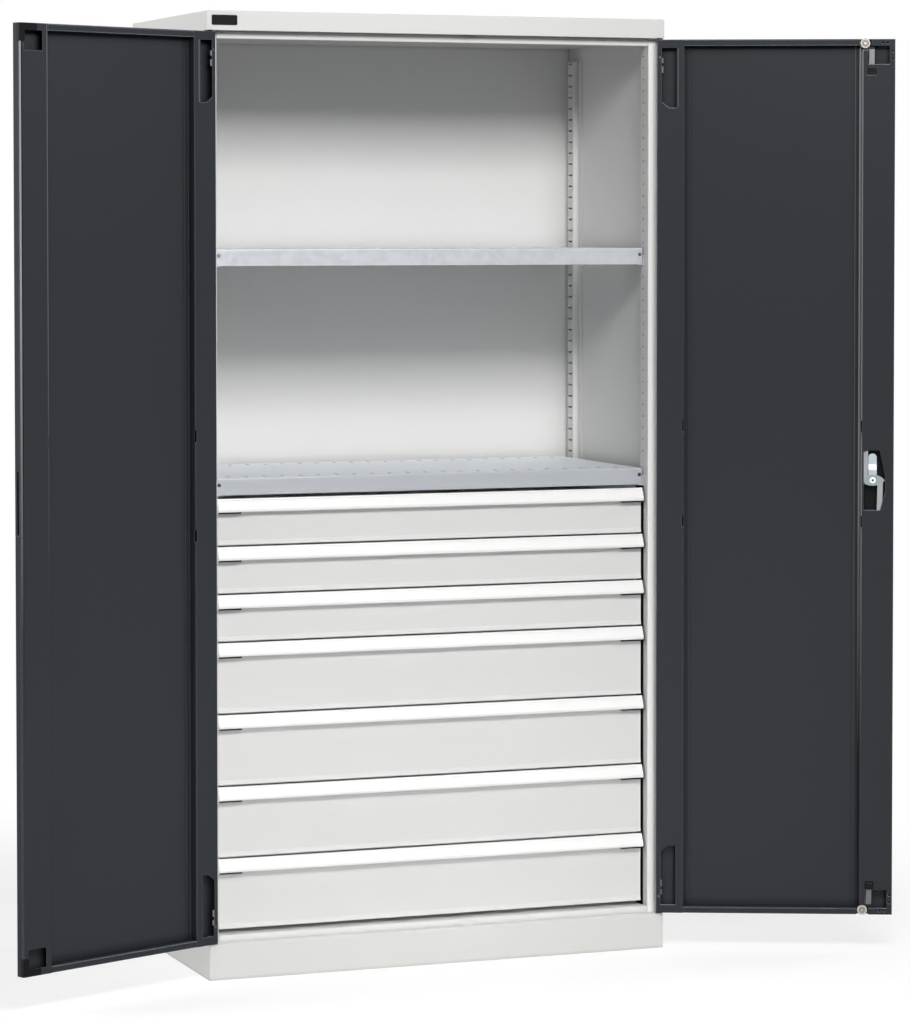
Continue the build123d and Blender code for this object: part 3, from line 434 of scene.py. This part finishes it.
# a zone is what lies between the bounds of its places, and a fade lets it grow with the height
finishes = {
    "body_paint": bodyCoat,
    "drawer_paint": {**bodyCoat, "colour": (0.725, 0.725, 0.715)},
    "door_paint": doorCoat,
    "strip_paint": {
        "group": "powder", "colour": (0.004, 0.004, 0.004), "Roughness": 0.6, "bump": 0.03, "gloss": 0.02,
    },
    "galvanised": sheetZinc,
    "zinc_steel": fineZinc,
    "hinge_zinc": {**fineZinc, "colour": (0.11, 0.115, 0.125)},
    "chrome_lock": {
        "group": "plastic", "colour": (0.65, 0.65, 0.66), "Roughness": 0.15, "metallic": 1, "bump": 0.01,
    },
    "grip_aluminium": {"group": "powder", "colour": (0.90, 0.90, 0.89), "Roughness": 0.38, "bump": 0.02},
    "black_plastic": blackPlastic,
    # the rollers, with painted shade in their hubs
    "cream_plastic": {
        "group": "plastic", "colour": (0.68, 0.65, 0.60), "Roughness": 0.35, "bump": 0.02, **rollerAxles,
        "zones": [{"Radius": (None, 0.0077), "colour": (0.36, 0.32, 0.29)}],
    },
    # the latch: a darker outer layer, the spindle's bright end, and painted shade in the middle of that
    "latch": {
        **fineZinc, **spindle, "colour": (0.42, 0.46, 0.50),
        "zones": [
            {"Depth": (0.0174, None), "colour": (0.26, 0.31, 0.30)},
            {"Depth": channelFace, "Radius": (None, 0.0069), "colour": (0.80, 0.82, 0.82)},
            {"Depth": channelFace, "Radius": (None, 0.0026), "colour": (0.05, 0.06, 0.07)},
        ],
    },
    # the rods: duller at both ends, with painted shade where they lie deep in the channel, and pale axles
    "rods": {
        **fineZinc, **rollerAxles,
        "zones": [
            {"Height": (1.2, None), "colour": (0.185, 0.195, 0.20)},
            {"Height": (None, 0.8), "colour": (0.15, 0.155, 0.16)},
            {"Depth": (None, 0.0150), "colour": (0.03, 0.03, 0.033)},
            {"Radius": (None, 0.0027), "colour": (0.60, 0.54, 0.50)},
        ],
    },
    # the left door's free edge: a painted highlight on its hem, painted shade in the seam beside it and a
    # painted highlight on the inner fold
    "left_edge_painted_light": {
        **doorCoat, "Painted Rim Highlight": 1.8, "door": "left",
        "zones": [
            {"Across": (0.4975, None), "Depth": channelFace, "fade": (0.75, 1.45),
             "colour": (0.36, 0.365, 0.38)},
            {"Across": (0.4949, 0.4975), "Depth": (0.018, None), "fade": (0.45, 1.2),
             "colour": (0.004, 0.004, 0.005)},
            {"Across": (0.4300, 0.4340), "Depth": channelFace, "fade": (0.8, 1.4),
             "colour": (0.12, 0.125, 0.135)},
        ],
    },
    # the right door's lock channel: painted highlights on its inner wall and on the end of its flange
    "right_edge_painted_highlights": {
        **doorCoat,
        "zones": [
            {"Across": (0.4298, 0.4337), "fade": (0.4, 1.0), "colour": (0.185, 0.190, 0.200)},
            {"Across": (0.4262, 0.4298), "fade": (0.4, 1.0), "colour": (0.260, 0.265, 0.280)},
            {"Across": (0.4150, 0.4190), "fade": (0.0, 1.0), "colour": (0.075, 0.080, 0.088)},
        ],
    },
    # painted highlights on the upright sides of the upper hinge windows
    "left_windows_painted_highlights": {
        **doorCoat, "Painted Rim Highlight": 2.5, "door": "left",
        "zones": [
            {"Across": (0.0380, 0.0412), "Depth": channelFace, "Height": windowHeight,
             "colour": (0.115, 0.120, 0.130)},
            {"Across": (0.0035, 0.0059), "Depth": channelFace, "Height": (1.8240, 1.9390),
             "colour": (0.100, 0.105, 0.115)},
        ],
    },
    "right_windows_painted_highlights": {
        **doorCoat,
        "zones": [
            {"Across": (0.0380, 0.0398), "Depth": channelFace, "Height": windowHeight,
             "colour": (0.110, 0.115, 0.125)},
        ],
    },
    # painted shade on the ceiling panel behind its front
    "ceiling_painted_shade": {**bodyCoat, "zones": [{"Y": (-0.2525, None), "colour": (0.50, 0.498, 0.487)}]},
    # painted shade on the cut walls of the hole rows in the front posts, and painted light on the right
    # post's front
    "post_painted_light_and_shade": {
        **bodyCoat, "Corner Shade": 0.92,
        "zones": [
            {"Side": (0.4841, 0.4852), "Y": (-0.2296, -0.2244), "colour": (0.01, 0.01, 0.01)},
            {"X": (0.4850, None), "Y": (None, -0.2500), "colour": (0.90, 0.897, 0.880)},
        ],
    },
    # painted shade on the lower shelf's front lip
    "shelf_zinc_painted_shade": {
        **sheetZinc,
        "zones": [{"Y": (None, -0.2312), "Height": (None, 1.1), "colour": (0.43, 0.45, 0.48)}],
    },
    # the grip ends: black, pale on the left where the grip's profile closes
    "grip_end": {**blackPlastic, "zones": [{"X": (None, -0.4792), "colour": (0.72, 0.72, 0.71)}]},
}

# pieces whose finish isn't the one that their material slot names
ownFinish = {
    "ceiling_panel": "ceiling_painted_shade",
    "right_door_hinge_pins": "hinge_zinc",
    "left_side_panel": "post_painted_light_and_shade",
    "right_side_panel": "post_painted_light_and_shade",
    "shelves": "shelf_zinc_painted_shade",
    "left_door_free_channel": "left_edge_painted_light",
    "left_door_hinge_channel": "left_windows_painted_highlights",
    "right_door_hinge_channel": "right_windows_painted_highlights",
    "right_door_lock_channel": "right_edge_painted_highlights",
    "latch": "latch",
    "upper_rod": "rods",
    "lower_rod": "rods",
    **{f"drawer_{number}_grip_ends": "grip_end" for number in range(1, 8)},
}

# sockets of a Mix node for colours
mixShare, mixFirst, mixSecond, mixResult = 0, 6, 7, 2


def zoneMask(tree, place, zone):
    mask = 1.0
    for label in placeLabels:
        for operation, bound in zip(("GREATER_THAN", "LESS_THAN"), zone.get(label, ())):
            if bound is not None:
                step = addMath(tree, operation, place[label], bound)
                mask = addMath(tree, "MULTIPLY", mask, step)
    if "fade" in zone:
        mask = addMath(tree, "MULTIPLY", mask, addRamp(tree, place["Height"], zone["fade"]))
    return mask


def addZones(tree, colour, spec):
    place = tree.nodes.new("ShaderNodeGroup")
    place.node_tree = doorPlaces[spec.get("door", "right")]
    place.inputs["Axis"].default_value = spec.get("axis", (0, 0, 0))
    place.inputs["Mirror Height"].default_value = spec.get("mirror", 0)
    for zone in spec["zones"]:
        mix = tree.nodes.new("ShaderNodeMix")
        mix.data_type = "RGBA"
        feed(tree, zoneMask(tree, place.outputs, zone), mix.inputs[mixShare])
        feed(tree, colour, mix.inputs[mixFirst])
        mix.inputs[mixSecond].default_value = (*zone["colour"], 1)
        colour = mix.outputs[mixResult]
    return colour


surfaceLabels = ("Scale", "Roughness", "Painted Edge Highlight", "Painted Rim Highlight", "Corner Shade", "Radius", "Reach", "Painted Top Highlight")
bumpDistance = 0.001


def makeFinish(name, spec):
    material = bpy.data.materials.new(name)
    material.use_nodes = True
    tree = material.node_tree
    shader = tree.nodes["Principled BSDF"]
    shader.inputs["Metallic"].default_value = spec.get("metallic", 0)
    shader.inputs["Specular IOR Level"].default_value = spec.get("gloss", 0.5)
    surface = tree.nodes.new("ShaderNodeGroup")
    surface.node_tree = finishGroups[spec["group"]]
    surface.inputs["Color"].default_value = (*spec["colour"], 1)
    for label in surfaceLabels:
        if label in spec:
            surface.inputs[label].default_value = spec[label]
    colour = surface.outputs["Color"]
    if "zones" in spec:
        colour = addZones(tree, colour, spec)
    feed(tree, colour, shader.inputs["Base Color"])
    feed(tree, surface.outputs["Roughness"], shader.inputs["Roughness"])
    bump = tree.nodes.new("ShaderNodeBump")
    bump.inputs["Strength"].default_value = spec["bump"]
    bump.inputs["Distance"].default_value = bumpDistance
    feed(tree, surface.outputs["Height"], bump.inputs["Height"])
    if "Normal" in surface.outputs:
        feed(tree, surface.outputs["Normal"], bump.inputs["Normal"])
    feed(tree, bump.outputs["Normal"], shader.inputs["Normal"])
    return material


materials = {name: makeFinish(name, spec) for name, spec in finishes.items()}

for part in frame["record"]["subparts"]:
    slots = nodes[part["node"]].data.materials
    slots.clear()
    slots.append(materials[ownFinish.get(part["node"], part["material_slot"])])
print("finishes ready:", len(materials))

# near-black sheets that close the two front posts as painted shade, so the hole rows look into the dark
postShadeSheet = {
    "x": (0.4855, 0.5100), "y": (-0.2135, -0.2123), "z": (0.100, 1.955),
    "inset": 0.006, "press": 0.0004, "bevel": 0.0002, "segments": 2,
}


def makePostShadeSheet(name, side, spec):
    bpy.ops.object.select_all(action="DESELECT")
    x, y, z = [sum(spec[axis]) / 2 for axis in "xyz"]
    bpy.ops.mesh.primitive_cube_add(size=1, location=(side * x, y, z))
    wall = bpy.context.object
    wall.name = name
    wall.scale = [spec[axis][1] - spec[axis][0] for axis in "xyz"]
    bpy.ops.object.transform_apply(location=True, rotation=True, scale=True)
    # a shallow field pressed into the rear face
    for face in wall.data.polygons:
        face.select = face.normal.y > 0.9
    bpy.ops.object.mode_set(mode="EDIT")
    bpy.ops.mesh.select_mode(type="FACE")
    bpy.ops.mesh.inset(thickness=spec["inset"])
    bpy.ops.transform.translate(value=(0, -spec["press"], 0))
    bpy.ops.object.mode_set(mode="OBJECT")
    bevel = wall.modifiers.new("softEdges", "BEVEL")
    bevel.width = spec["bevel"]
    bevel.segments = spec["segments"]
    bpy.ops.object.modifier_apply(modifier=bevel.name)
    # near-black paint, as painted shade behind the holes
    wall.data.materials.append(materials["strip_paint"])
    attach(wall, "cabinet")
    return wall


postShadeSheets = [makePostShadeSheet("rightPostShadeSheet", 1, postShadeSheet), makePostShadeSheet("leftPostShadeSheet", -1, postShadeSheet)]
print("post backs ready:", len(postShadeSheets))
